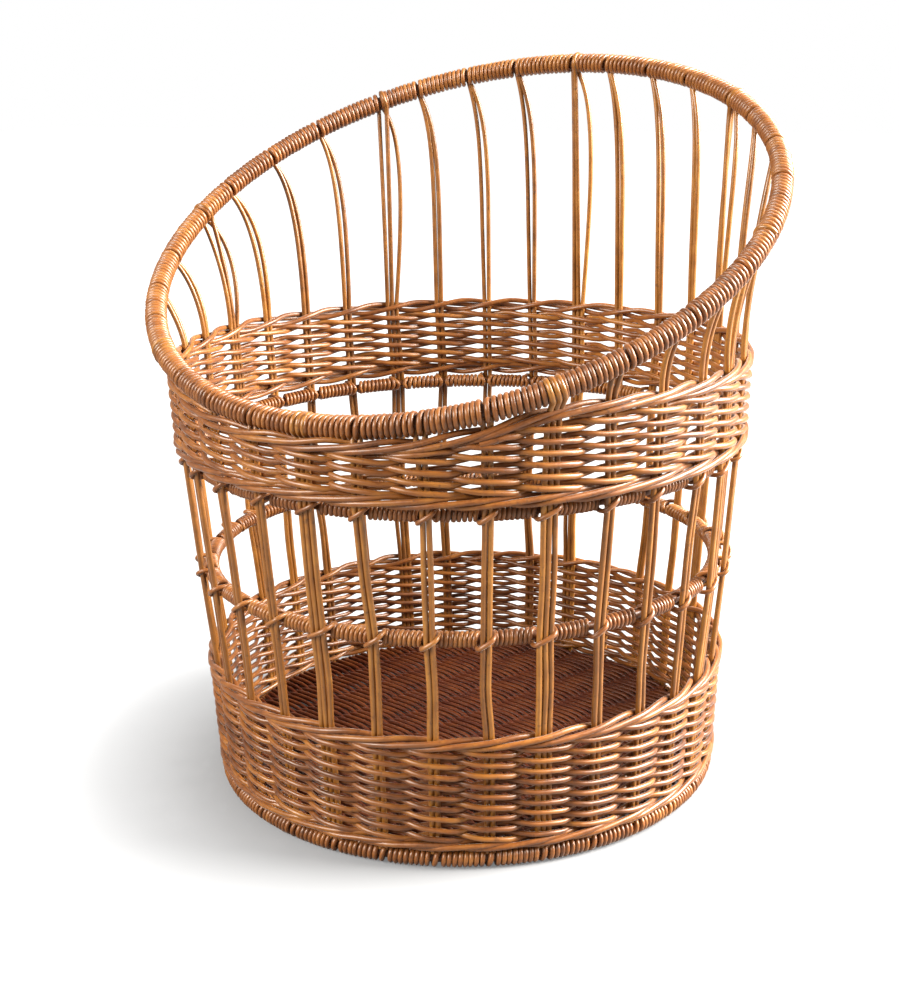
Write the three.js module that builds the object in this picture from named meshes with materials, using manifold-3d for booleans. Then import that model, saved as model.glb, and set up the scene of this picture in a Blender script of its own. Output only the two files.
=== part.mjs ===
// Round woven basket on a foot hoop, open between two woven bands, with a high tilted rim.
// Millimetres, +Z up, origin on the floor under the middle. The low side of the rim is at -Y.
// Every hoop is a round core inside a wrapping of strand, and the wall is carried by stakes:
// pairs of rods, with a post of three rods at every fourth place.
import * as THREE from "three";
import { mergeVertices } from "three/addons/utils/BufferGeometryUtils.js";
import Module from "manifold-3d";

const wasm = await Module();
wasm.setup();

// ---- driving dimensions ----
const GAP = 0.3; // clearance left between pieces that touch
const PLACES = 32; // stakes and posts round the wall
const POST_EVERY = 4; // every fourth place is a post
const ROD_R = 2.05; // radius of one stake rod
const STRAND = 3.6; // thickness of a weaving strand
const SMALL_HOOP_R = 6.2; // outside radius of a wrapped hoop's tube
const FOOT_TUBE_R = 7.2; // the foot hoop is a little thicker
const SMALL_CORE_R = 3.2;
const FOOT_CORE_R = 4;
const RIM_TUBE_R = 8.2; // the rim is thicker
const RIM_CORE_R = 4.9;
const WRAP_JOINT = 0.25; // degrees left open where a wrapping starts and ends

const FOOT_R = 200; // centre line of the foot hoop
const MIDDLE_R = 205; // centre line of the middle hoop
const MIDDLE_Z = 180;
const UPPER_R = 212; // centre line of the hoop under the upper band
const UPPER_Z = 273.6;
const RIM_R = 247; // the rim is a true circle, tilted
const RIM_Y = 3;
const RIM_Z = 445;
const RIM_TILT = 27.4; // degrees, the back is the high side

// The line that the stakes follow up the wall: height, then radius.
const LOW_BAND = { bottom: [15.2, 201.6], top: [105, 206.5] };
const HIGH_BAND = { bottom: [280.6, 220.7], top: [347.6, 223.6] };
const SHORT_RISE = 25; // stakes that rise less than this over the upper band don't bend
const WALE_H = 8.4; // height of the border of long strands at a band's edge
const LOW_WALE_H = 6.2; // the thinner border at a band's lower edge

const FLOOR_R = 195;
const FLOOR_Z = 12.9;
const FLOOR_T = 5.4;

// ---- materials: one for each mesh, so a colour can be changed alone ----
const LOOKS = {
  weave: { color: 0xb9783f, roughness: 0.5, metalness: 0 },
  stake: { color: 0xc68a45, roughness: 0.45, metalness: 0 },
  wrap: { color: 0xbd8249, roughness: 0.48, metalness: 0 },
  core: { color: 0xa8743e, roughness: 0.6, metalness: 0 },
  floor: { color: 0x8a4f2a, roughness: 0.6, metalness: 0 },
};

const basket = new THREE.Group();
const rad = THREE.MathUtils.degToRad;

function add(name, look, geometry) {
  const mesh = new THREE.Mesh(geometry, new THREE.MeshStandardMaterial(LOOKS[look]));
  mesh.name = name;
  basket.add(mesh);
  return mesh;
}

// ---- solids for cutting ----
function toSolid(geometry) {
  const bare = new THREE.BufferGeometry();
  const flat = geometry.index ? geometry.toNonIndexed() : geometry;
  bare.setAttribute("position", flat.getAttribute("position").clone());
  const merged = mergeVertices(bare, 1e-4);
  return new wasm.Manifold(
    new wasm.Mesh({
      numProp: 3,
      vertProperties: new Float32Array(merged.attributes.position.array),
      triVerts: new Uint32Array(merged.index.array),
    }),
  );
}

function toGeometry(solid) {
  const mesh = solid.getMesh();
  const geometry = new THREE.BufferGeometry();
  geometry.setAttribute("position", new THREE.BufferAttribute(mesh.vertProperties, 3));
  geometry.setIndex(new THREE.BufferAttribute(mesh.triVerts, 1));
  const flat = geometry.toNonIndexed();
  flat.computeVertexNormals();
  return flat;
}

// ---- paths ----
// Straight runs between given points, one step of the sweep for each run.
class Polyline extends THREE.Curve {
  constructor(points) {
    super();
    this.points = points;
  }
  getPoint(t) {
    const runs = this.points.length - 1;
    const i = Math.min(Math.floor(t * runs), runs - 1);
    return this.points[i].clone().lerp(this.points[i + 1], t * runs - i);
  }
  getPointAt(t) {
    return this.getPoint(t);
  }
  getTangentAt(t) {
    return this.getTangent(t);
  }
}

// Round the wall at a radius and height that may change with the angle.
class RoundTheWall extends THREE.Curve {
  constructor(placeAt, joint) {
    super();
    this.placeAt = placeAt;
    this.joint = joint;
  }
  getPoint(t) {
    const angle = rad(this.joint / 2 + (360 - this.joint) * t);
    const [r, z] = this.placeAt(angle);
    return new THREE.Vector3(r * Math.cos(angle), r * Math.sin(angle), z);
  }
  getPointAt(t) {
    return this.getPoint(t);
  }
  getTangentAt(t) {
    return this.getTangent(t);
  }
}

// A closed ring round Z from a closed profile of [radius, height].
function ring(profile, steps) {
  const points = [...profile, profile[0]].map(([r, z]) => new THREE.Vector2(r, z));
  return new THREE.LatheGeometry(points, steps).rotateX(Math.PI / 2);
}

function polygon(radius, sides) {
  const points = [];
  for (let i = 0; i < sides; i += 1) {
    const a = ((i + 0.5) / sides) * 2 * Math.PI;
    const r = radius / Math.cos(Math.PI / sides);
    points.push(new THREE.Vector2(r * Math.cos(a), r * Math.sin(a)));
  }
  return points;
}

// ---- hoops: a core, and a sleeve of wrapping that is open at its joint ----
function hoop(name, radius, tubeR, coreR, sides, steps) {
  const section = new THREE.Shape(polygon(tubeR, sides));
  section.holes.push(new THREE.Path(polygon(coreR + GAP, 6)));
  const round = new RoundTheWall(() => [radius, 0], WRAP_JOINT);
  const sleeve = new THREE.ExtrudeGeometry(section, { steps, extrudePath: round });
  const coreSection = new THREE.Shape(polygon(coreR * 0.92, 6));
  const core = new THREE.ExtrudeGeometry(coreSection, { steps, extrudePath: round });
  return [add(`${name}_wrap`, "wrap", sleeve), add(`${name}_core`, "core", core)];
}

const footParts = hoop("foot_hoop", FOOT_R, FOOT_TUBE_R, FOOT_CORE_R, 8, 36);
footParts.forEach((mesh) => mesh.position.set(0, 0, FOOT_TUBE_R));

const middleParts = hoop("middle_hoop", MIDDLE_R, SMALL_HOOP_R, SMALL_CORE_R, 8, 36);
middleParts.forEach((mesh) => mesh.position.set(0, 0, MIDDLE_Z));

const upperParts = hoop("upper_hoop", UPPER_R, SMALL_HOOP_R, SMALL_CORE_R, 8, 36);
upperParts.forEach((mesh) => mesh.position.set(0, 0, UPPER_Z));

const rimParts = hoop("rim_hoop", RIM_R, RIM_TUBE_R, RIM_CORE_R, 8, 48);
rimParts.forEach((mesh) => {
  mesh.rotation.x = rad(RIM_TILT);
  mesh.position.set(0, RIM_Y, RIM_Z);
});

// Radius and height of the rim's centre line in the direction of an angle.
function rimAt(angle) {
  const c = Math.cos(rad(RIM_TILT));
  const across = Math.cos(angle) / RIM_R;
  const along = Math.sin(angle) / (RIM_R * c);
  const shift = RIM_Y / (RIM_R * c);
  const a = across ** 2 + along ** 2;
  const b = -2 * along * shift;
  const r = (-b + Math.sqrt(b * b - 4 * a * (shift ** 2 - 1))) / (2 * a);
  const z = RIM_Z + (r * Math.sin(angle) - RIM_Y) * Math.tan(rad(RIM_TILT));
  return [r, z];
}

// ---- stakes ----
// Outline of rods side by side: a lobe for each, with a waist between neighbours.
function rodRow(count) {
  const half = (count - 1) * ROD_R;
  const waist = 0.8;
  const upper = [];
  const lower = [];
  for (let i = 1; i < count; i += 1) {
    const x = -half + (2 * i - 1) * ROD_R;
    upper.push([x, waist]);
    lower.push([x, -waist]);
    if (i < count - 1) {
      upper.push([x + ROD_R, ROD_R]);
      lower.push([x + ROD_R, -ROD_R]);
    }
  }
  const end = [80, 27, -27, -80].map((d) => [
    half + ROD_R * Math.cos(rad(d)),
    ROD_R * Math.sin(rad(d)),
  ]);
  const start = end.map(([x, y]) => [-x, -y]);
  const outline = [...end, ...lower.reverse(), ...start, ...upper];
  return new THREE.Shape(outline.map(([x, y]) => new THREE.Vector2(x, y)));
}

function alongBand(band, z) {
  const [z0, r0] = band.bottom;
  const [z1, r1] = band.top;
  return r0 + ((z - z0) / (z1 - z0)) * (r1 - r0);
}

// From the foot to the middle of the rim's tube. The end is trimmed under the rim afterwards.
function stakePath(angle) {
  const clear = SMALL_HOOP_R + GAP + ROD_R;
  const entryZ = HIGH_BAND.bottom[0] + 2;
  const line = [
    LOW_BAND.bottom,
    LOW_BAND.top,
    [MIDDLE_Z, MIDDLE_R + clear],
    [UPPER_Z, UPPER_R + clear],
    [entryZ, alongBand(HIGH_BAND, entryZ)],
  ];
  const [rimR, rimZ] = rimAt(angle);
  const [bandZ, bandR] = HIGH_BAND.top;
  if (rimZ < bandZ + SHORT_RISE) {
    line.push([rimZ, alongBand(HIGH_BAND, rimZ)]);
  } else {
    line.push(HIGH_BAND.top);
    line.push([bandZ + 0.6 * (rimZ - bandZ), bandR + 0.35 * (rimR - bandR)]);
    line.push([rimZ, rimR]);
  }
  return line.map(([z, r]) => new THREE.Vector3(r, 0, z));
}

// All the space over a plane parallel to the rim, a little under its tube.
function spaceOver(drop) {
  const size = 900;
  const block = new THREE.BoxGeometry(size, size, size);
  block.translate(0, 0, size / 2 - RIM_TUBE_R - drop);
  block.rotateX(rad(RIM_TILT));
  block.translate(0, RIM_Y, RIM_Z);
  return toSolid(block);
}

function placeAngle(i) {
  return rad(-90 + (360 / PLACES) * i);
}

const overRimSide = spaceOver(GAP);
let pairs = 0;
let posts = 0;
for (let i = 0; i < PLACES; i += 1) {
  const isPost = i % POST_EVERY === 0;
  const rods = isPost ? 3 : 2;
  const points = stakePath(placeAngle(i));
  const whole = new THREE.ExtrudeGeometry(rodRow(rods), {
    steps: points.length - 1,
    extrudePath: new Polyline(points),
  }).rotateZ(placeAngle(i));
  const trimmed = toGeometry(toSolid(whole).subtract(overRimSide));
  posts += isPost ? 1 : 0;
  pairs += isPost ? 0 : 1;
  const name = isPost ? `post_${posts}` : `stake_pair_${pairs}`;
  add(name, "stake", trimmed);
}

// ---- woven bands: a wall with a passage for each stake ----
function passages(band, margin) {
  const [z0, r0] = band.bottom;
  const [z1, r1] = band.top;
  const lean = Math.atan2(r1 - r0, z1 - z0);
  const cutters = [];
  for (let i = 0; i < PLACES; i += 1) {
    const rods = i % POST_EVERY === 0 ? 3 : 2;
    const width = 2 * (rods * ROD_R + GAP);
    const cutter = new THREE.BoxGeometry(2 * (ROD_R + GAP), width, z1 - z0 + margin);
    cutter.rotateY(lean);
    cutter.translate((r0 + r1) / 2, 0, (z0 + z1) / 2);
    cutter.rotateZ(placeAngle(i));
    cutters.push(toSolid(cutter));
  }
  return wasm.Manifold.union(cutters);
}

const WALL_HALF = ROD_R + STRAND;

function bandWall(band, z0, z1) {
  const out = (z) => alongBand(band, z) + WALL_HALF;
  const inn = (z) => alongBand(band, z) - WALL_HALF;
  const edge = 1.2; // the first and last rows are rounded
  return ring(
    [
      [inn(z0) + edge, z0],
      [out(z0) - edge, z0],
      [out(z0 + edge), z0 + edge],
      [out(z1 - edge), z1 - edge],
      [out(z1) - edge, z1],
      [inn(z1) + edge, z1],
      [inn(z1 - edge), z1 - edge],
      [inn(z0 + edge), z0 + edge],
    ],
    64,
  );
}

const [lowZ0] = LOW_BAND.bottom;
const [lowZ1] = LOW_BAND.top;
const lowWeave = [lowZ0 + LOW_WALE_H + GAP, lowZ1 - WALE_H - GAP];
const lowWall = toSolid(bandWall(LOW_BAND, ...lowWeave));
add("lower_band_weave", "weave", toGeometry(lowWall.subtract(passages(LOW_BAND, 20))));

// The rim rests on the front of the upper band, whose rows run out there under the rim.
const [highZ0] = HIGH_BAND.bottom;
const [highZ1] = HIGH_BAND.top;
const BORDER_DROP = 13.3; // how far the border's middle hangs under the rim there
const ROW_SEAT = 10.2; // space over the rows there, under the rim's tube
const highWeave = [highZ0 + LOW_WALE_H + GAP, highZ1 - WALE_H - GAP];
const highWall = toSolid(bandWall(HIGH_BAND, ...highWeave))
  .subtract(spaceOver(ROW_SEAT))
  .subtract(passages(HIGH_BAND, 20));
add("upper_band_weave", "weave", toGeometry(highWall));

// ---- borders of long strands, outside the stakes ----
function wale(name, band, z0, z1) {
  const inside = (z) => alongBand(band, z) + ROD_R + GAP;
  const edge = 1.3;
  const profile = [
    [inside(z0), z0],
    [inside(z0) + STRAND - edge, z0],
    [inside(z0) + STRAND, z0 + edge],
    [inside(z1) + STRAND, z1 - edge],
    [inside(z1) + STRAND - edge, z1],
    [inside(z1), z1],
  ];
  add(name, "weave", ring(profile, 64));
}

wale("lower_band_bottom_wale", LOW_BAND, lowZ0, lowZ0 + LOW_WALE_H);
wale("lower_band_top_wale", LOW_BAND, lowZ1 - WALE_H, lowZ1);
wale("upper_band_bottom_wale", HIGH_BAND, highZ0, highZ0 + LOW_WALE_H);

// The top border dips under the rim at the front.
function highWaleAt(angle) {
  const level = highZ1 - WALE_H / 2;
  const r = alongBand(HIGH_BAND, level) + ROD_R + GAP + STRAND / 2 + 0.25;
  const tilt = rad(RIM_TILT);
  const rimZ = RIM_Z + ((r + 2) * Math.sin(angle) - RIM_Y) * Math.tan(tilt);
  return [r, Math.min(level, rimZ - BORDER_DROP)];
}

const waleSection = new THREE.Shape([
  new THREE.Vector2(-WALE_H / 2 + 1.1, -STRAND / 2),
  new THREE.Vector2(WALE_H / 2 - 1.1, -STRAND / 2),
  new THREE.Vector2(WALE_H / 2, 0),
  new THREE.Vector2(WALE_H / 2 - 1.1, STRAND / 2),
  new THREE.Vector2(-WALE_H / 2 + 1.1, STRAND / 2),
  new THREE.Vector2(-WALE_H / 2, 0),
]);
const highWale = new THREE.ExtrudeGeometry(waleSection, {
  steps: 72,
  extrudePath: new RoundTheWall(highWaleAt, WRAP_JOINT),
});
add("upper_band_top_wale", "weave", highWale);

// ---- floor: a woven panel that rests on the foot hoop ----
const floorEdge = 1.6;
const floorProfile = [
  [0, FLOOR_Z],
  [FLOOR_R - floorEdge, FLOOR_Z],
  [FLOOR_R, FLOOR_Z + floorEdge],
  [FLOOR_R, FLOOR_Z + FLOOR_T - floorEdge],
  [FLOOR_R - floorEdge, FLOOR_Z + FLOOR_T],
  [0, FLOOR_Z + FLOOR_T],
].map(([r, z]) => new THREE.Vector2(r, z));
add("floor_panel", "floor", new THREE.LatheGeometry(floorProfile, 64).rotateX(Math.PI / 2));

export default basket;
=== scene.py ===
"""A round woven basket: wrapped hoops, rod stakes, two woven bands and a woven floor."""

import math
import random

import bmesh
import bpy
import numpy as np
from mathutils import Matrix, Vector


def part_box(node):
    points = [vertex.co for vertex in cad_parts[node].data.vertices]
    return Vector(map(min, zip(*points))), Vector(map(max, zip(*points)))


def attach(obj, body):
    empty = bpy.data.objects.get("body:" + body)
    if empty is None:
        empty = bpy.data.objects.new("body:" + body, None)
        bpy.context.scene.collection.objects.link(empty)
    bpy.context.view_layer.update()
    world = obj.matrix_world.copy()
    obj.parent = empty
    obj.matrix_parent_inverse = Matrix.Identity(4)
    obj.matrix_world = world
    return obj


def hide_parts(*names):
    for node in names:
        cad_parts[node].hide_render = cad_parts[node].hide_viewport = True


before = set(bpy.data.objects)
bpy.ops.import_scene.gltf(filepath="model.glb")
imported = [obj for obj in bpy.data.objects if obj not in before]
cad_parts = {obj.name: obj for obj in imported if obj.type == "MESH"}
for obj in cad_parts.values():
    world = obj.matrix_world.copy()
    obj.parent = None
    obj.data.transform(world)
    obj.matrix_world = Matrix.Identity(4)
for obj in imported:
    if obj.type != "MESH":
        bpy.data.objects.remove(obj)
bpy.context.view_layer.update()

# ---- sizes of the cane, in metres ----
ROD = 0.00208  # radius of a stake rod
CANE = 0.00210  # radius of a weaving strand
STOUT_CANE = 0.00222  # the upper band is woven of thicker strands
HOOP_CANE = 0.00168  # radius of the strand wrapped round the small hoops
FOOT_CANE = 0.00190  # radius of the strand wrapped round the foot hoop
RIM_CANE = 0.00188  # radius of the strand wrapped round the rim
FLOOR_CANE = 0.00178  # radius of a strand in the floor
FLOOR_STICK = 0.0014  # radius of the sticks that the floor is woven on
PLACES = 32  # stakes and posts round the wall
POST_EVERY = 4  # every fourth place has a post
STEP = math.tau / PLACES
FINE = 8  # points of a strand from one place to the next
ROW_PITCH = 0.0086  # height of one row of weaving
ROW_SLANT = 0.0021  # a strand falls by twice this as it crosses a stake
BORDER_IN = 0.00595  # from a border's outer face in to the stakes


def place_angle(i):
    """Direction of a place from the basket's axis; place 0 is at the front."""
    return -math.pi / 2 + STEP * i


# ---- where the hoops and the wall are, from the frame ----
def flat_hoop(node):
    """Radius, height and tube radius of a level hoop."""
    lo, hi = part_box(node)
    tube = (hi.z - lo.z) / 2
    return (hi.x - lo.x) / 2 - tube, (hi.z + lo.z) / 2, tube


FOOT_R, FOOT_Z, FOOT_TUBE = flat_hoop("foot_hoop_wrap")
MIDDLE_R, MIDDLE_Z, HOOP_TUBE = flat_hoop("middle_hoop_wrap")
UPPER_R, UPPER_Z, _ = flat_hoop("upper_hoop_wrap")

RIM_TUBE = 0.0082
rim_lo, rim_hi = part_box("rim_hoop_wrap")
RIM_R = (rim_hi.x - rim_lo.x) / 2 - RIM_TUBE
RIM_MID = (rim_lo + rim_hi) / 2
corner = RIM_TUBE * 1.076  # the tube's eight sides reach this far when tilted
RIM_TILT = math.atan2(
    (rim_hi.z - rim_lo.z) / 2 - corner, (rim_hi.y - rim_lo.y) / 2 - corner
)


def border_line(node, proud):
    """Height and stake radius at the middle of a band's border."""
    lo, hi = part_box(node)
    return (lo.z + hi.z) / 2, (hi.x - lo.x) / 2 - proud


LOW_FOOT = border_line("lower_band_bottom_wale", BORDER_IN)
LOW_HEAD = border_line("lower_band_top_wale", BORDER_IN)
HIGH_FOOT = border_line("upper_band_bottom_wale", BORDER_IN)
high_lo, high_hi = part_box("upper_band_top_wale")
HIGH_HEAD = (high_hi.z - 0.0042, (high_hi.x - high_lo.x) / 2 - 0.0062)
LOW_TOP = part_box("lower_band_top_wale")[1].z
HIGH_TOP = high_hi.z
CLEAR = HOOP_TUBE + ROD + 0.0003

WALL = sorted(
    [
        LOW_FOOT,
        LOW_HEAD,
        (MIDDLE_Z, MIDDLE_R + CLEAR),
        (UPPER_Z, UPPER_R + CLEAR),
        (UPPER_Z + 0.009, HIGH_FOOT[1]),
        HIGH_HEAD,
    ]
)


def wall_radius(z):
    """Radius of the line that the stakes follow."""
    heights = [p[0] for p in WALL]
    slope = (LOW_HEAD[1] - LOW_FOOT[1]) / (LOW_HEAD[0] - LOW_FOOT[0])
    below = np.minimum(np.asarray(z, float) - heights[0], 0) * slope
    return np.interp(z, heights, [p[1] for p in WALL]) + below


def round_wall(angle, radius, z):
    angle = np.asarray(angle, float)
    return np.stack(
        np.broadcast_arrays(radius * np.cos(angle), radius * np.sin(angle), z), axis=-1
    )


# ---- the tilted rim ----
def rim_frame(phi):
    """Centre line, outward and upward directions of the rim's tube at phi along it."""
    c, s = np.cos(phi), np.sin(phi)
    ct, st = math.cos(RIM_TILT), math.sin(RIM_TILT)
    out = np.stack([c, s * ct, s * st], axis=-1)
    up = np.broadcast_to(np.array([0.0, -st, ct]), out.shape)
    return np.array(RIM_MID) + RIM_R * out, out, up


def rim_radius(angle):
    """Distance of the rim's centre line from the basket's axis, seen from above."""
    ct = math.cos(RIM_TILT)
    a = (np.cos(angle) / RIM_R) ** 2 + (np.sin(angle) / (RIM_R * ct)) ** 2
    b = -2 * np.sin(angle) * RIM_MID.y / (RIM_R * ct) ** 2
    c = (RIM_MID.y / (RIM_R * ct)) ** 2 - 1
    return (-b + np.sqrt(b * b - 4 * a * c)) / (2 * a)


def rim_phi(angle):
    """Position along the rim that lies in the direction angle from the basket's axis."""
    x, y = rim_radius(angle) * np.array([np.cos(angle), np.sin(angle)])
    return np.arctan2((y - RIM_MID.y) / math.cos(RIM_TILT), x)


def rim_height(angle, radius):
    """Height of the rim's plane over a point of the wall."""
    return RIM_MID.z + (radius * np.sin(angle) - RIM_MID.y) * math.tan(RIM_TILT)


# ---- small helpers for the hand of the maker ----
def waver(seed, waves=(2, 3, 5, 7, 11, 17)):
    """A smooth closed wave round the basket, about -1 to 1."""
    own = random.Random(seed)
    parts = [(n, own.uniform(0, math.tau), own.uniform(0.4, 1)) for n in waves]
    total = math.sqrt(sum(p[2] ** 2 for p in parts))
    return lambda a: sum(w * np.sin(n * a + p) for n, p, w in parts) / total


def through_keys(keys, period, k):
    """A smooth closed line through keys of (place, value), repeated each period."""
    places = np.array([p for p, _ in keys], float)
    values = np.array([v for _, v in keys], float)
    places = np.concatenate([places[-2:] - period, places, places[:2] + period])
    values = np.concatenate([values[-2:], values, values[:2]])
    slopes = (values[2:] - values[:-2]) / (places[2:] - places[:-2])
    at = np.mod(k, period)
    i = np.clip(np.searchsorted(places, at, side="right") - 1, 1, len(places) - 3)
    h = places[i + 1] - places[i]
    t = (at - places[i]) / h
    m0, m1 = slopes[i - 1] * h, slopes[i] * h
    p0, p1 = values[i], values[i + 1]
    return (
        (2 * t**3 - 3 * t**2 + 1) * p0
        + (t**3 - 2 * t**2 + t) * m0
        + (3 * t**2 - 2 * t**3) * p1
        + (t**3 - t**2) * m1
    )


def squared(c, m=1.6):
    """A cosine with flatter tops, so that a strand lies flat over a stake."""
    return c * m / np.sqrt(1 + (m * m - 1) * c * c)


# ---- strands ----
def strand(points, radius, tone=0.0, closed=False):
    n = len(points)
    return {
        "points": np.asarray(points, float),
        "radius": np.broadcast_to(np.asarray(radius, float), (n,)),
        "tone": np.broadcast_to(np.asarray(tone, float), (n,)),
        "closed": closed,
    }


def canes_in_place(name, strands, sides, finish, slot, *nodes):
    """Sweeps every strand round its own line and keeps them as one mesh piece."""
    line = bpy.data.curves.new(name + "_lines", "CURVE")
    line.dimensions = "3D"
    line.fill_mode = "FULL"
    line.bevel_depth = 1.0
    line.bevel_resolution = (sides - 4) // 2
    line.use_fill_caps = True
    line.twist_mode = "MINIMUM"
    for s in strands:
        n = len(s["points"])
        spline = line.splines.new("POLY")
        spline.points.add(n - 1)
        spots = np.ones((n, 4), np.float32)
        spots[:, :3] = s["points"]
        spline.points.foreach_set("co", spots.ravel())
        spline.points.foreach_set("radius", s["radius"].astype(np.float32))
        spline.use_cyclic_u = bool(s["closed"])
        spline.use_smooth = True
    swept = bpy.data.objects.new(name + "_lines", line)
    bpy.context.scene.collection.objects.link(swept)
    depsgraph = bpy.context.evaluated_depsgraph_get()
    mesh = bpy.data.meshes.new_from_object(swept.evaluated_get(depsgraph))
    mesh.name = name
    bpy.data.objects.remove(swept)
    bpy.data.curves.remove(line)

    def on_points(values):
        """A value for every point of the mesh, from one for each ring of each strand. The
        cut ends come first, from the last strand's to the first's, and then the rings."""
        ends = [
            np.repeat(value[[-1, 0]], sides)
            for s, value in zip(strands[::-1], values[::-1])
            if not s["closed"]
        ]
        return np.concatenate(ends + [np.repeat(value, sides) for value in values])

    tone = on_points([s["tone"] for s in strands])
    runs = [np.linalg.norm(np.diff(s["points"], axis=0), axis=1).sum() for s in strands]
    length = on_points([np.full(len(s["points"]), run) for s, run in zip(strands, runs)])
    if len(mesh.vertices) != len(tone):
        raise ValueError(name + " has another number of points than its strands")
    mesh.attributes.new("tone", "FLOAT", "POINT").data.foreach_set("value", tone)
    if mesh.uv_layers:
        uv = np.zeros(len(mesh.loops) * 2, np.float32)
        mesh.uv_layers[0].data.foreach_get("uv", uv)
        owner = np.zeros(len(mesh.loops), np.int32)
        mesh.loops.foreach_get("vertex_index", owner)
        uv[0::2] *= length[owner]
        mesh.uv_layers[0].data.foreach_set("uv", uv)
    mesh.materials.clear()
    mesh.materials.append(finish)
    piece = bpy.data.objects.new(name, mesh)
    bpy.context.scene.collection.objects.link(piece)
    return settle(piece, slot, *nodes)


def settle(piece, slot, *nodes):
    """Ties a finished piece to the frame, in place of the nodes that it stands for."""
    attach(piece, "root")
    if nodes:
        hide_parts(*nodes)
    return piece


# ---- finishes ----
def grown_finish(name, dark, middle, light, fleck, gloss=0.42, shine=0.56, sheen=0.22):
    """Varnished cane: each strand has its own tone, with fibre, mottling and dark flecks."""
    finish = bpy.data.materials.new(name)
    finish.use_nodes = True
    tree = finish.node_tree
    nodes, links = tree.nodes, tree.links
    shader = nodes["Principled BSDF"]
    shader.inputs["Specular IOR Level"].default_value = shine
    shader.inputs["Specular Tint"].default_value = (1.0, 0.88, 0.74, 1)
    shader.inputs["Sheen Weight"].default_value = sheen
    shader.inputs["Sheen Roughness"].default_value = 0.35
    shader.inputs["Sheen Tint"].default_value = (1.0, 0.93, 0.86, 1)
    shader.inputs["Coat Weight"].default_value = 0.35
    shader.inputs["Coat Roughness"].default_value = 0.3

    tone = nodes.new("ShaderNodeAttribute")
    tone.attribute_name = "tone"
    place = nodes.new("ShaderNodeTexCoord")

    along = nodes.new("ShaderNodeMapping")
    along.inputs["Scale"].default_value = (55, 7, 1)
    links.new(place.outputs["UV"], along.inputs["Vector"])
    split = nodes.new("ShaderNodeSeparateXYZ")
    links.new(along.outputs["Vector"], split.inputs["Vector"])
    own = nodes.new("ShaderNodeMath")
    own.operation = "MULTIPLY"
    own.inputs[1].default_value = 37.0
    links.new(tone.outputs["Fac"], own.inputs[0])
    join = nodes.new("ShaderNodeCombineXYZ")
    links.new(split.outputs["X"], join.inputs["X"])
    links.new(split.outputs["Y"], join.inputs["Y"])
    links.new(own.outputs["Value"], join.inputs["Z"])

    fibre = nodes.new("ShaderNodeTexNoise")
    fibre.inputs["Scale"].default_value = 1.0
    fibre.inputs["Detail"].default_value = 4.0
    fibre.inputs["Roughness"].default_value = 0.6
    links.new(join.outputs["Vector"], fibre.inputs["Vector"])

    mottle = nodes.new("ShaderNodeTexNoise")
    mottle.inputs["Scale"].default_value = 70.0
    mottle.inputs["Detail"].default_value = 3.0
    links.new(place.outputs["Object"], mottle.inputs["Vector"])

    def scaled(source, by, plus):
        sum_ = nodes.new("ShaderNodeMath")
        sum_.operation = "MULTIPLY_ADD"
        sum_.inputs[1].default_value = by
        sum_.inputs[2].default_value = plus
        links.new(source, sum_.inputs[0])
        return sum_

    def added(a, b):
        sum_ = nodes.new("ShaderNodeMath")
        sum_.operation = "ADD"
        links.new(a, sum_.inputs[0])
        links.new(b, sum_.inputs[1])
        return sum_

    own_part = scaled(tone.outputs["Fac"], 0.16, 0.5)
    mottle_part = scaled(mottle.outputs["Fac"], 0.6, -0.3)
    fibre_part = scaled(fibre.outputs["Fac"], 0.5, -0.25)
    mixed = added(own_part.outputs[0], mottle_part.outputs[0])
    mixed = added(mixed.outputs[0], fibre_part.outputs[0])

    stain = nodes.new("ShaderNodeValToRGB")
    stain.color_ramp.elements[0].position = 0.12
    stain.color_ramp.elements[0].color = (*dark, 1)
    stain.color_ramp.elements[1].position = 0.88
    stain.color_ramp.elements[1].color = (*light, 1)
    stain.color_ramp.elements.new(0.5).color = (*middle, 1)
    links.new(mixed.outputs[0], stain.inputs["Fac"])

    specks = nodes.new("ShaderNodeTexNoise")
    specks.inputs["Scale"].default_value = 260.0
    specks.inputs["Detail"].default_value = 2.0
    links.new(place.outputs["Object"], specks.inputs["Vector"])
    where = nodes.new("ShaderNodeMapRange")
    where.inputs["From Min"].default_value = 0.62
    where.inputs["From Max"].default_value = 0.74
    where.inputs["To Max"].default_value = 0.55
    links.new(specks.outputs["Fac"], where.inputs["Value"])
    flecked = nodes.new("ShaderNodeMix")
    flecked.data_type = "RGBA"
    links.new(where.outputs["Result"], flecked.inputs["Factor"])
    links.new(stain.outputs["Color"], flecked.inputs["A"])
    flecked.inputs["B"].default_value = (*fleck, 1)
    links.new(flecked.outputs["Result"], shader.inputs["Base Color"])

    satin = nodes.new("ShaderNodeMapRange")
    satin.inputs["From Min"].default_value = 0.3
    satin.inputs["From Max"].default_value = 0.7
    satin.inputs["To Min"].default_value = gloss - 0.07
    satin.inputs["To Max"].default_value = gloss + 0.12
    links.new(fibre.outputs["Fac"], satin.inputs["Value"])
    links.new(satin.outputs["Result"], shader.inputs["Roughness"])

    lumps = scaled(mottle.outputs["Fac"], 1.4, 0)
    relief = added(lumps.outputs[0], fibre.outputs["Fac"])
    bump = nodes.new("ShaderNodeBump")
    bump.inputs["Strength"].default_value = 0.45
    bump.inputs["Distance"].default_value = 0.00035
    links.new(relief.outputs[0], bump.inputs["Height"])
    links.new(bump.outputs["Normal"], shader.inputs["Normal"])
    return finish


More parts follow.
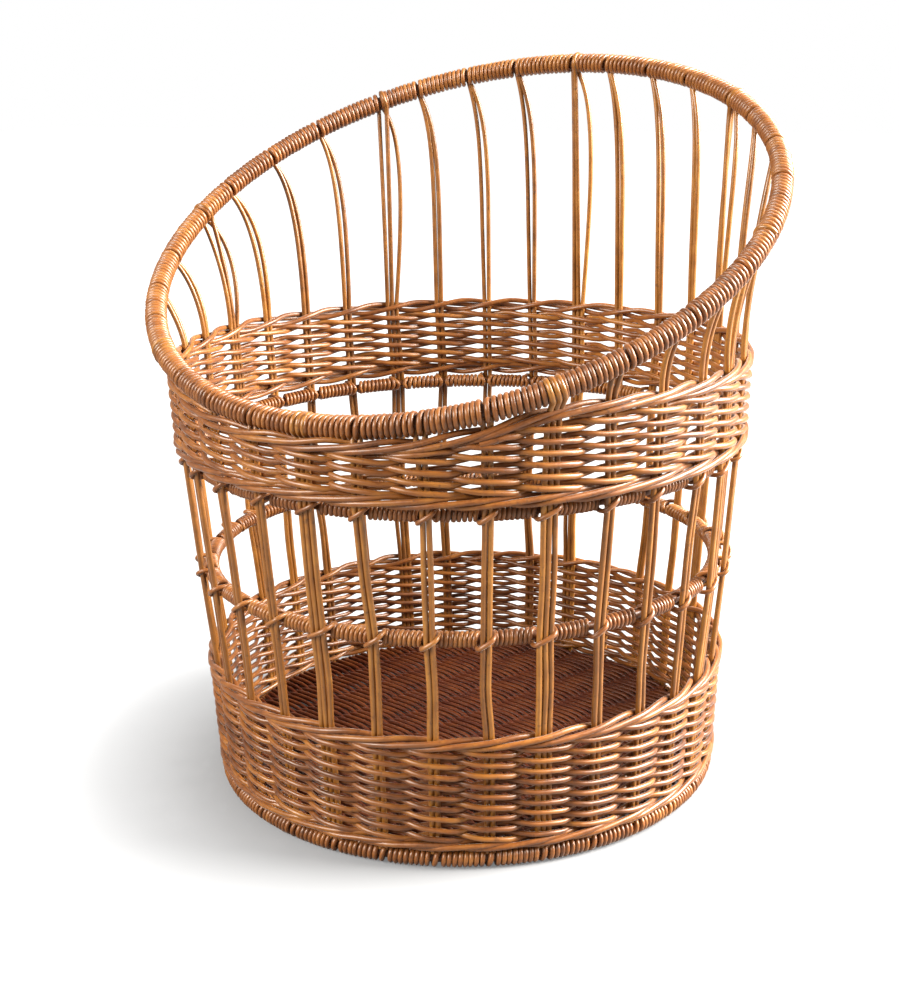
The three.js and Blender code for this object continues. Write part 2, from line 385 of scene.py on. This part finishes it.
WEAVE = grown_finish(
    "varnished_weaving_cane",
    (0.045, 0.0080, 0.0005),
    (0.195, 0.054, 0.0035),
    (0.35, 0.128, 0.013),
    (0.03, 0.005, 0.0005),
)
STAKE = grown_finish(
    "golden_stake_cane",
    (0.07, 0.018, 0.001),
    (0.235, 0.08, 0.0075),
    (0.40, 0.165, 0.024),
    (0.045, 0.011, 0.0015),
    gloss=0.36,
)
WRAPPING = grown_finish(
    "varnished_wrapping_cane",
    (0.055, 0.012, 0.001),
    (0.215, 0.064, 0.0075),
    (0.38, 0.15, 0.026),
    (0.035, 0.008, 0.0015),
)
CORE = grown_finish(
    "hoop_core_wood",
    (0.04, 0.010, 0.0018),
    (0.10, 0.028, 0.0045),
    (0.18, 0.06, 0.012),
    (0.03, 0.008, 0.002),
    gloss=0.55,
    shine=0.3,
    sheen=0.05,
)
FLOORING = grown_finish(
    "red_brown_floor_cane",
    (0.014, 0.0012, 0.0002),
    (0.066, 0.0095, 0.0006),
    (0.15, 0.035, 0.0035),
    (0.012, 0.0012, 0.0002),
    shine=0.2,
    sheen=0.05,
)


# ---- hoops ----
def hoop_core(name, radius, half, node, tilt=0.0, middle=(0, 0, 0)):
    """A round rod bent to a full hoop: one circle spun round the hoop's axis."""
    bm = bmesh.new()
    ring = bmesh.ops.create_circle(bm, segments=10, radius=half, cap_ends=False)
    bmesh.ops.rotate(
        bm, verts=ring["verts"], cent=(0, 0, 0), matrix=Matrix.Rotation(math.pi / 2, 3, "X")
    )
    bmesh.ops.translate(bm, verts=ring["verts"], vec=(radius, 0, 0))
    bmesh.ops.spin(
        bm,
        geom=list(bm.verts) + list(bm.edges),
        cent=(0, 0, 0),
        axis=(0, 0, 1),
        angle=math.tau,
        steps=128,
        use_merge=True,
    )
    bmesh.ops.remove_doubles(bm, verts=list(bm.verts), dist=1e-6)
    bmesh.ops.rotate(
        bm, verts=list(bm.verts), cent=(0, 0, 0), matrix=Matrix.Rotation(tilt, 3, "X")
    )
    bmesh.ops.translate(bm, verts=list(bm.verts), vec=middle)
    bmesh.ops.recalc_face_normals(bm, faces=list(bm.faces))
    for face in bm.faces:
        face.smooth = True
    mesh = bpy.data.meshes.new(name)
    bm.to_mesh(mesh)
    bm.free()
    mesh.materials.append(CORE)
    piece = bpy.data.objects.new(name, mesh)
    bpy.context.scene.collection.objects.link(piece)
    return settle(piece, "hoop_core", node)


def level_frame(radius, z):
    """Centre line, outward and upward directions of a level hoop."""

    def at(phi):
        out = np.stack([np.cos(phi), np.sin(phi), np.zeros_like(phi)], axis=-1)
        up = np.broadcast_to(np.array([0.0, 0.0, 1.0]), out.shape)
        return radius * out + np.array([0, 0, z]), out, up

    return at


INNER_GAP = 0.0024  # half the space left between turns inside a tied stake


def wound_hoop(name, at, radius, winding_r, cane, marks, pitch, seed, node, fuller=0.0):
    """One long strand wound round a hoop. At each mark it takes one wide slanting turn,
    which may stand out far enough to tie a stake to the hoop. The winding may be fuller
    at the front."""
    own = random.Random(seed)

    def front_swell(phi):
        return 1 + fuller * ((1 - math.sin(phi)) / 2) ** 2

    order = sorted((mark % math.tau, width) for mark, width in marks)
    points, tones, radii = [], [], []
    batch, batch_left = own.uniform(-0.5, 0.5), own.randint(30, 90)
    for i, (mark, (half, out_by)) in enumerate(order):
        after, (next_half, _) = order[(i + 1) % len(order)]
        if i + 1 == len(order):
            after += math.tau
        # the wide turn over the mark: round a stake it swings out, and closes up inside
        a = np.linspace(-math.pi, math.pi, 23)[:-1]
        spread = a / math.pi
        if out_by > 0:
            close = INNER_GAP / half
            reach = np.interp(np.abs(a), [0, 0.5, 1, 1.6, math.pi], [0, 0.6, 0.9, 1, close])
            spread = np.sign(a) * reach
        phi = mark + half / radius * spread
        centre, out, up = at(phi)
        if out_by > 0:
            rho = (out_by - winding_r) / 2 + (out_by + winding_r) / 2 * squared(np.cos(a), 1.4)
            rise = winding_r * 1.08 * np.sin(a)
        else:
            rho = winding_r * np.cos(a) * front_swell(mark)
            rise = winding_r * np.sin(a) * front_swell(mark)
        points.append(centre + rho[:, None] * out + rise[:, None] * up)
        tones.append(np.full(len(a), batch + own.uniform(-0.2, 0.5)))
        radii.append(np.full(len(a), cane * own.uniform(1.0, 1.08)))
        # plain turns up to the next mark
        start, end = mark + half / radius, after - next_half / radius
        turns = max(1, round((end - start) * radius / pitch))
        edges = np.linspace(start, end, turns + 1)
        for t in range(turns):
            a = np.linspace(-math.pi, math.pi, 13)[:-1]
            phi = edges[t] + (edges[t + 1] - edges[t]) * (a + math.pi) / math.tau
            if out_by > 0:
                inside = (1 - np.cos(a)) / 2
                for side, mid, wide in ((1, mark, half), (-1, after, next_half)):
                    away = side * (phi - mid) * radius - wide
                    pull = (wide - INNER_GAP) * np.exp(-away / 0.0085) * inside
                    phi = phi - side * pull / radius
            phi = phi + own.uniform(-0.05, 0.05) * pitch / radius
            centre, out, up = at(phi)
            r = winding_r * (1 + own.uniform(-0.02, 0.03)) * front_swell(phi[0])
            points.append(centre + r * (np.cos(a)[:, None] * out + np.sin(a)[:, None] * up))
            tones.append(np.full(len(a), batch + own.uniform(-0.55, 0.55)))
            radii.append(np.full(len(a), cane * own.uniform(0.96, 1.05)))
            batch_left -= 1
            if batch_left < 0:
                batch, batch_left = own.uniform(-0.6, 0.6), own.randint(25, 90)
    line = strand(np.concatenate(points), np.concatenate(radii), np.concatenate(tones), True)
    return canes_in_place(name, [line], 8, WRAPPING, "hoop_wrapping", node)


STRAY_LEVELS = [LOW_FOOT[0], LOW_HEAD[0], MIDDLE_Z, UPPER_Z, HIGH_HEAD[0]]
STRAY_MOST = [0.0008, 0.0034, 0.0022, 0.0012]  # at each level above the foot, which is fixed
stray_chance = random.Random(5)
STRAY = [
    [0.0] + [stray_chance.uniform(-most, most) for most in STRAY_MOST] for _ in range(PLACES)
]


def drift(i, z):
    """How far a stake has strayed sideways from its place, in metres, at a height."""
    return np.interp(z, STRAY_LEVELS, STRAY[i % PLACES])


def tie_marks(z, radius, out_by):
    """A tie round each stake where it has strayed to. Posts need wider ones."""
    found = []
    for i in range(PLACES):
        half = 0.0080 if i % POST_EVERY == 0 else 0.0060
        found.append((place_angle(i) + drift(i, z) / radius, (half, out_by)))
    return found


def notch_marks(half):
    """A wide slanting turn at each place, which ties nothing."""
    return [(place_angle(i), (half, 0)) for i in range(PLACES)]


def lean_over(i):
    """How far a stake's head bends along the rim, in metres."""
    rise = rim_height(place_angle(i), RIM_R) - HIGH_TOP
    share = min(max((float(rise) + 0.005) / 0.11, 0), 1)
    return (0.0165 if i % POST_EVERY else 0.005) * share


hoop_core("foot_hoop_core_rod", FOOT_R, 0.0037, "foot_hoop_core", middle=(0, 0, FOOT_Z))
hoop_core("middle_hoop_core_rod", MIDDLE_R, 0.0030, "middle_hoop_core", middle=(0, 0, MIDDLE_Z))
hoop_core("upper_hoop_core_rod", UPPER_R, 0.0030, "upper_hoop_core", middle=(0, 0, UPPER_Z))
hoop_core("rim_hoop_core_rod", RIM_R, 0.0045, "rim_hoop_core", RIM_TILT, tuple(RIM_MID))

wound_hoop(
    "foot_hoop_winding",
    level_frame(FOOT_R, FOOT_Z),
    FOOT_R,
    FOOT_TUBE - FOOT_CANE,
    FOOT_CANE,
    notch_marks(0.0040),
    0.0039,
    21,
    "foot_hoop_wrap",
)
wound_hoop(
    "middle_hoop_winding",
    level_frame(MIDDLE_R, MIDDLE_Z),
    MIDDLE_R,
    HOOP_TUBE - HOOP_CANE,
    HOOP_CANE,
    tie_marks(MIDDLE_Z, MIDDLE_R + CLEAR, CLEAR + ROD + HOOP_CANE * 0.9),
    0.00335,
    22,
    "middle_hoop_wrap",
)
wound_hoop(
    "upper_hoop_winding",
    level_frame(UPPER_R, UPPER_Z),
    UPPER_R,
    HOOP_TUBE - HOOP_CANE,
    HOOP_CANE,
    tie_marks(UPPER_Z, UPPER_R + CLEAR, CLEAR + ROD + HOOP_CANE * 0.9),
    0.00335,
    23,
    "upper_hoop_wrap",
)
rim_marks = [(rim_phi(place_angle(i) + lean_over(i) / RIM_R), (0.0034, 0)) for i in range(PLACES)]
wound_hoop(
    "rim_hoop_winding",
    rim_frame,
    RIM_R,
    RIM_TUBE - RIM_CANE,
    RIM_CANE,
    rim_marks,
    0.00395,
    24,
    "rim_hoop_wrap",
    0.11,
)


# ---- stakes and posts ----
def up_the_wall(i, side, z0, z1, count, bow):
    """Points of one rod between two heights. bow is how far it swings out at mid-stage."""
    z = np.linspace(z0, z1, count)
    swing = np.zeros_like(z)
    for low, high, amount in (
        (LOW_TOP, MIDDLE_Z, bow[0]),
        (MIDDLE_Z, UPPER_Z, bow[1]),
    ):
        t = np.clip((z - low) / (high - low), 0, 1)
        swing += amount * np.sin(math.pi * t) ** 2
    r = wall_radius(z)
    across = side + drift(i, z) + swing
    return round_wall(place_angle(i) + across / r, r, z), across


def rod_line(i, side, bow, apart, head_shift):
    """One rod from the foot hoop to the rim."""
    angle = place_angle(i)
    band_z = HIGH_TOP - 0.002
    phi = rim_phi(angle + head_shift / RIM_R)
    head = rim_frame(np.array(phi))[0]
    start_z = min(band_z, float(head[2]) - 0.016)
    lower, across = up_the_wall(i, side, FOOT_Z + 0.004, start_z, 46, bow)
    rise = float(head[2]) - start_z
    head_r = math.hypot(head[0], head[1])
    head_angle = math.atan2(head[1], head[0])
    turn = (head_angle - angle + math.pi) % math.tau - math.pi
    start_r = float(wall_radius(start_z))
    t = np.linspace(0, 1, 26)[1:]
    w = np.clip((t - 0.42) / 0.58, 0, 1)
    bend = 0.4 * w**2 + 0.6 * w**5
    radius = start_r + (head_r - start_r) * (t**2 if rise > 0.05 else t**1.5)
    stray = across[-1] * (1 - bend)
    stray = stray + apart * np.sin(np.clip(t * 1.35, 0, 1) * math.pi / 2) * (1 - bend**2)
    a = angle + stray / radius + turn * bend
    upper = round_wall(a, radius, start_z + rise * t)
    return np.concatenate([lower, upper])


def over_the_rim(i, side, bow, outside):
    """A post's rod that runs up one side of the rim and over its top."""
    angle = place_angle(i)
    phi = rim_phi(angle) + side / RIM_R
    centre, out, up = (np.asarray(v) for v in rim_frame(np.array(phi)))
    reach = RIM_TUBE - ROD * 0.35
    if outside:
        a = np.radians(np.linspace(-38, 150, 15))
    else:
        a = np.radians(np.linspace(205, 20, 15))
    loop = centre + reach * (np.cos(a)[:, None] * out + np.sin(a)[:, None] * up)
    first = loop[0]
    start_z = min(HIGH_TOP - 0.002, float(first[2]) - 0.018)
    lower, across = up_the_wall(i, side, FOOT_Z + 0.004, start_z, 46, bow)
    t = np.linspace(0, 1, 22)[1:-1]
    first_r, first_a = math.hypot(first[0], first[1]), math.atan2(first[1], first[0])
    start_r = float(wall_radius(start_z))
    turn = (first_a - angle + math.pi) % math.tau - math.pi
    radius = start_r + (first_r - start_r) * t**1.7
    a = angle + across[-1] / radius * (1 - t) + turn * t
    z = start_z + (float(first[2]) - start_z) * t
    return np.concatenate([lower, round_wall(a, radius, z), loop])


def stake(i, name, node):
    """The rods of one place. On the low side a post's rods are turned over the rim."""
    own = random.Random(900 + i)
    is_post = i % POST_EVERY == 0
    high = rim_height(place_angle(i), RIM_R) > HIGH_TOP + 0.03
    rods = []
    count = 3 if is_post else 2
    shared = [own.uniform(-1, 1) * 0.0012, own.uniform(-1, 1) * 0.001]
    for n in range(count):
        side = (2 * n - (count - 1)) * ROD * 1.01
        bow = [s + own.uniform(-0.7, 0.7) * 0.001 for s in shared]
        tone = own.uniform(-0.9, 0.9)
        if is_post and not high:
            line = over_the_rim(i, side, bow, True)
        elif is_post and n == 1:
            line = over_the_rim(i, side, bow, False)
        else:
            apart = 0.0
            if is_post and n == 0:
                apart = -0.0085
            elif not is_post:
                apart = (n - 0.5) * own.uniform(0.0, 0.0035)
            line = rod_line(i, side, bow, apart, lean_over(i))
        girth = ROD * own.uniform(0.95, 1.06)
        taper = np.linspace(1.04, 0.93, len(line))
        rods.append(strand(line, girth * taper, tone))
    return canes_in_place(name, rods, 10, STAKE, "stakes", node)


pairs = posts = 0
for i in range(PLACES):
    if i % POST_EVERY == 0:
        posts += 1
        stake(i, f"post_{posts}_rods", f"post_{posts}")
    else:
        pairs += 1
        stake(i, f"stake_{pairs}_rods", f"stake_pair_{pairs}")


# ---- woven bands ----
def standing_out(k, cane):
    """Distance of a strand's centre from the stake line: more over the thicker posts."""
    near = np.abs(np.mod(k / POST_EVERY + 0.5, 1) - 0.5) * POST_EVERY
    return (ROD + cane + 0.0001) * (1 + 0.07 * np.clip(1 - near, 0, 1))


def pairing_row(height, seed, cane, first=0.0, last=PLACES, ceiling=None):
    """Two strands twisted round the stakes. From first to last place, or closed if full."""
    closed = last - first >= PLACES
    own = random.Random(seed)
    count = int(round((last - first) * FINE)) + (0 if closed else 1)
    k = first + np.arange(count) / FINE
    a = place_angle(0) + STEP * k
    up_down, in_out = waver(seed + 1), waver(seed + 2)
    strands = []
    for turn in (0, 1):
        c, s = np.cos(math.pi * (k + turn)), np.sin(math.pi * (k + turn))
        z = height(a) - ROW_SLANT * (0.35 * s + 0.65 * s**3) + 0.0004 * up_down(a)
        if ceiling is not None:
            room = ceiling(a) - z
            z = z + np.minimum(room, 0)
        stray = np.array([float(drift(int(round(q)), z[0])) for q in k])
        rho = standing_out(k, cane) * squared(c) + 0.00018 * in_out(a)
        r = wall_radius(z) + rho
        tone = own.uniform(-0.9, 0.9)
        slow = waver(seed + 5 + turn, (1, 2, 4, 9))
        girth = cane * own.uniform(0.93, 1.04) * (1 + 0.05 * slow(a))
        tones = tone + 0.18 * waver(seed + 9 + turn, (3, 5, 8))(a)
        # a fresh length of cane starts here and there
        for _ in range(2):
            cut = own.uniform(first, last)
            tones = tones + np.where(k > cut, own.uniform(-0.25, 0.25), 0)
        strands.append(strand(round_wall(a + stray / r, r, z), girth, tones, closed))
    return strands


WALE_OUT = [(0, -1), (0.5, 0.05), (1, 1), (1.5, 1.06), (2, 1), (2.5, 0.15)]
WALE_UP = [(0, 0.15), (0.5, -1), (1, -0.55), (1.5, 0.0), (2, 0.55), (2.5, 1)]


def wale(name, level, rise, seed, node, sag=0.0):
    """A border of long strands: each runs outside two stakes and inside the third."""
    rounds = 3
    k = np.arange(PLACES * rounds * FINE) / FINE
    a = place_angle(0) + STEP * k
    out = through_keys(WALE_OUT, 3, k)
    up = through_keys(WALE_UP, 3, k)
    own = random.Random(seed)
    wave = [waver(seed + n) for n in range(3)]
    lap = np.minimum((k / PLACES).astype(int), rounds - 1)
    mix = np.clip((np.mod(k, PLACES) - (PLACES - 1)), 0, 1)
    here = np.choose(lap, [w(a) for w in wave])
    after = np.choose((lap + 1) % rounds, [w(a) for w in wave])
    wobble = here * (1 - mix) + after * mix
    base = level(a) if callable(level) else level + 0 * a
    z = base + rise * up + 0.0006 * wobble - sag * np.clip(wobble, 0, 2)
    r = wall_radius(z) + standing_out(k, CANE) * out + 0.0002 * wobble
    tones = 0.3 * wobble + np.repeat(
        [own.uniform(-0.5, 0.6) for _ in range(len(k) // 64)], 64
    )
    line = strand(round_wall(a, r, z), CANE * 1.04, tones, True)
    return canes_in_place(name, [line], 8, WEAVE, "weave", node)


def row_heights(node, squeeze=0.0):
    """Height of each row round the band. The rows may lie closer together at the front."""
    lo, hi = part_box(node)
    count = round((hi.z - lo.z) / ROW_PITCH)
    first = (lo.z + hi.z - (count - 1) * ROW_PITCH) / 2

    def row(n):
        def height(a):
            from_front = np.mod(a + 1.4 + math.pi, math.tau) - math.pi
            return first + n * ROW_PITCH * (1 - squeeze * np.exp(-((from_front / 0.6) ** 2)))

        return height

    return [row(n) for n in range(count)]


rows = []
for n, height in enumerate(row_heights("lower_band_weave")):
    rows += pairing_row(height, 100 + 20 * n, CANE)
canes_in_place("lower_band_rows", rows, 8, WEAVE, "weave", "lower_band_weave")
wale("lower_band_foot_border", LOW_FOOT[0] + 0.0008, 0.0026, 41, "lower_band_bottom_wale", 0.0012)
wale("lower_band_head_border", LOW_HEAD[0], 0.0037, 51, "lower_band_top_wale")


def under_rim(a):
    """Middle height of the upper band's top border, which dips under the rim in front."""
    r = HIGH_HEAD[1] + 0.0041
    under = rim_height(a, r + 0.002) - 0.0045
    beside = HIGH_HEAD[1] + 0.0012 - rim_radius(a)
    room = RIM_TUBE * 1.08 + CANE
    hang = np.sqrt(np.maximum(room**2 - beside**2, (0.3 * room) ** 2)) / 0.95
    under = np.minimum(under, rim_height(a, rim_radius(a)) - hang - 0.0034)
    level = HIGH_HEAD[0]
    soft = 0.0025
    gap = level - under
    return level - soft * np.log1p(np.exp(np.clip(gap / soft, -30, 30)))


def rim_ceiling(a):
    """Highest that a row of the upper band may lie."""
    return under_rim(a) - 0.0058


rows = []
for n, height in enumerate(row_heights("upper_band_weave", 0.17)):
    # a row that would run into the rim turns back beneath it
    fine = np.arange(0, PLACES, 0.125)
    round_ = place_angle(0) + STEP * fine
    free = rim_ceiling(round_) > height(round_) - 0.0035
    ends = (0, PLACES) if free.all() else (fine[free][0] - 0.25, fine[free][-1] + 0.25)
    rows += pairing_row(height, 500 + 20 * n, STOUT_CANE, *ends, ceiling=rim_ceiling)
canes_in_place("upper_band_rows", rows, 8, WEAVE, "weave", "upper_band_weave")
wale("upper_band_foot_border", HIGH_FOOT[0] + 0.0006, 0.0035, 61, "upper_band_bottom_wale", 0.0006)
wale("upper_band_head_border", under_rim, 0.0038, 71, "upper_band_top_wale")


# ---- woven floor ----
def floor_weave():
    """Parallel sticks with twisted pairs of strands woven across them."""
    lo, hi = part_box("floor_panel")
    reach = (hi.x - lo.x) / 2
    mid = (lo.z + hi.z) / 2 - 0.0002
    lift = (hi.z - lo.z) / 2 - FLOOR_CANE + 0.0010
    turn = math.radians(-20.5)
    along = np.array([math.cos(turn), math.sin(turn), 0])
    across = np.array([-math.sin(turn), math.cos(turn), 0])
    spacing, pitch = 0.036, 0.0066
    own = random.Random(77)
    sticks, weavers = [], []
    n = int(reach / spacing)
    for j in range(-n, n + 1):
        x = j * spacing
        half = math.sqrt(max(reach**2 - x**2, 0)) - 0.002
        y = np.linspace(-half, half, 24)
        bend = 0.0006 * np.sin(y * 30 + own.uniform(0, 6))
        line = (x + bend)[:, None] * along + y[:, None] * across + np.array([0, 0, mid])
        sticks.append(strand(line, FLOOR_STICK, own.uniform(-0.5, 0.5)))
    m = int(reach / pitch)
    for j in range(-m, m + 1):
        y = j * pitch
        half = math.sqrt(max(reach**2 - y**2, 0)) - 0.0015
        if half < 0.02:
            continue
        count = max(8, int(2 * half / spacing * 7))
        x = np.linspace(-half, half, count)
        k = x / spacing
        wave = 0.0011 * np.sin(x * 13 + y * 9 + 1.3) + 0.0005 * own.uniform(-1, 1)
        for s in (0, 1):
            c, sn = np.cos(math.pi * (k + s)), np.sin(math.pi * (k + s))
            z = mid + lift * squared(c, 1.9)
            line = x[:, None] * along + (y + wave + 0.0016 * sn)[:, None] * across
            line = line + z[:, None] * np.array([0, 0, 1.0])
            # painted highlight and shade, carried in the tone: the parts that lie over a stick are
            # painted paler, and those that dip under are painted darker
            tone = own.uniform(-0.4, 0.4) + 0.75 * c
            weavers.append(strand(line, FLOOR_CANE * own.uniform(0.93, 1.05), tone))
    canes_in_place("floor_sticks", sticks, 6, FLOORING, "floor")
    canes_in_place("floor_weaving", weavers, 6, FLOORING, "floor", "floor_panel")


floor_weave()


# ---- studio ----
def studio():
    """Pale floor, white backdrop and two soft lights."""
    bm = bmesh.new()
    bmesh.ops.create_grid(bm, x_segments=1, y_segments=1, size=9)
    mesh = bpy.data.meshes.new("studio_floor")
    bm.to_mesh(mesh)
    bm.free()
    paper = bpy.data.materials.new("white_paper")
    paper.use_nodes = True
    shader = paper.node_tree.nodes["Principled BSDF"]
    shader.inputs["Base Color"].default_value = (0.2, 0.2, 0.2, 1)
    shader.inputs["Roughness"].default_value = 0.9
    shader.inputs["Specular IOR Level"].default_value = 0.1
    # the paper glows for the camera, more away from the basket, so that it meets the white
    # backdrop; the glow fades to nothing under and close to the basket, which paints shade there
    spot = paper.node_tree.nodes.new("ShaderNodeTexCoord")
    away = paper.node_tree.nodes.new("ShaderNodeVectorMath")
    away.operation = "LENGTH"
    links = paper.node_tree.links
    links.new(spot.outputs["Object"], away.inputs[0])
    lifts = []
    for near, far, amount in ((0.15, 0.34, 0.71), (0.8, 2.2, 0.4)):
        lift = paper.node_tree.nodes.new("ShaderNodeMapRange")
        lift.inputs["From Min"].default_value = near
        lift.inputs["From Max"].default_value = far
        lift.inputs["To Max"].default_value = amount
        links.new(away.outputs["Value"], lift.inputs["Value"])
        lifts.append(lift.outputs["Result"])
    both = paper.node_tree.nodes.new("ShaderNodeMath")
    both.operation = "ADD"
    links.new(lifts[0], both.inputs[0])
    links.new(lifts[1], both.inputs[1])
    seen = paper.node_tree.nodes.new("ShaderNodeLightPath")
    glow = paper.node_tree.nodes.new("ShaderNodeMath")
    glow.operation = "MULTIPLY"
    links.new(both.outputs[0], glow.inputs[0])
    links.new(seen.outputs["Is Camera Ray"], glow.inputs[1])
    shader.inputs["Emission Color"].default_value = (1, 1, 1, 1)
    links.new(glow.outputs[0], shader.inputs["Emission Strength"])
    mesh.materials.append(paper)
    floor = bpy.data.objects.new("studio_floor", mesh)
    bpy.context.scene.collection.objects.link(floor)

    world = bpy.data.worlds.new("studio_air")
    bpy.context.scene.world = world
    world.use_nodes = True
    air = world.node_tree.nodes["Background"]
    air.inputs["Color"].default_value = (1, 1, 1, 1)
    # the white backdrop looks brighter than the light that it throws on the basket
    seen = world.node_tree.nodes.new("ShaderNodeLightPath")
    glow = world.node_tree.nodes.new("ShaderNodeMapRange")
    glow.inputs["To Min"].default_value = 0.36
    glow.inputs["To Max"].default_value = 1.0
    world.node_tree.links.new(seen.outputs["Is Camera Ray"], glow.inputs["Value"])
    world.node_tree.links.new(glow.outputs["Result"], air.inputs["Strength"])

    def lamp(name, place, aim, size, power, colour):
        data = bpy.data.lights.new(name, "AREA")
        data.shape = "DISK"
        data.size = size
        data.energy = power
        data.color = colour
        lit = bpy.data.objects.new(name, data)
        lit.location = place
        lit.rotation_mode = "QUATERNION"
        lit.rotation_quaternion = (Vector(aim) - Vector(place)).to_track_quat("-Z", "Y")
        bpy.context.scene.collection.objects.link(lit)

    lamp("key_light", (1.9, 1.05, 1.5), (0, 0, 0.25), 1.8, 455, (1.0, 0.99, 0.97))
    lamp("left_light", (-1.25, -2.05, 1.55), (0, 0, 0.2), 1.5, 132, (1.0, 0.99, 0.97))
    bpy.context.scene.view_settings.view_transform = "Standard"


def camera():
    """Looks down on the basket from the front right."""
    azimuth, elevation, roll = math.radians(29.8), math.radians(16.67), math.radians(-1.26)
    distance = 1.226
    away = Vector(
        (
            math.sin(azimuth) * math.cos(elevation),
            -math.cos(azimuth) * math.cos(elevation),
            math.sin(elevation),
        )
    )
    right = Vector((math.cos(azimuth), math.sin(azimuth), 0))
    aim = Vector((0, 0, 0.2198)) - right * 0.0101
    data = bpy.data.cameras.new("camera")
    data.sensor_width = 36
    data.lens = 54.0
    data.clip_start, data.clip_end = 0.05, 50
    eye = bpy.data.objects.new("camera", data)
    eye.location = aim + away * distance
    eye.rotation_mode = "QUATERNION"
    eye.rotation_quaternion = (-away).to_track_quat("-Z", "Y") @ Matrix.Rotation(
        roll, 3, "Z"
    ).to_quaternion()
    bpy.context.scene.collection.objects.link(eye)
    bpy.context.scene.camera = eye


studio()
camera()
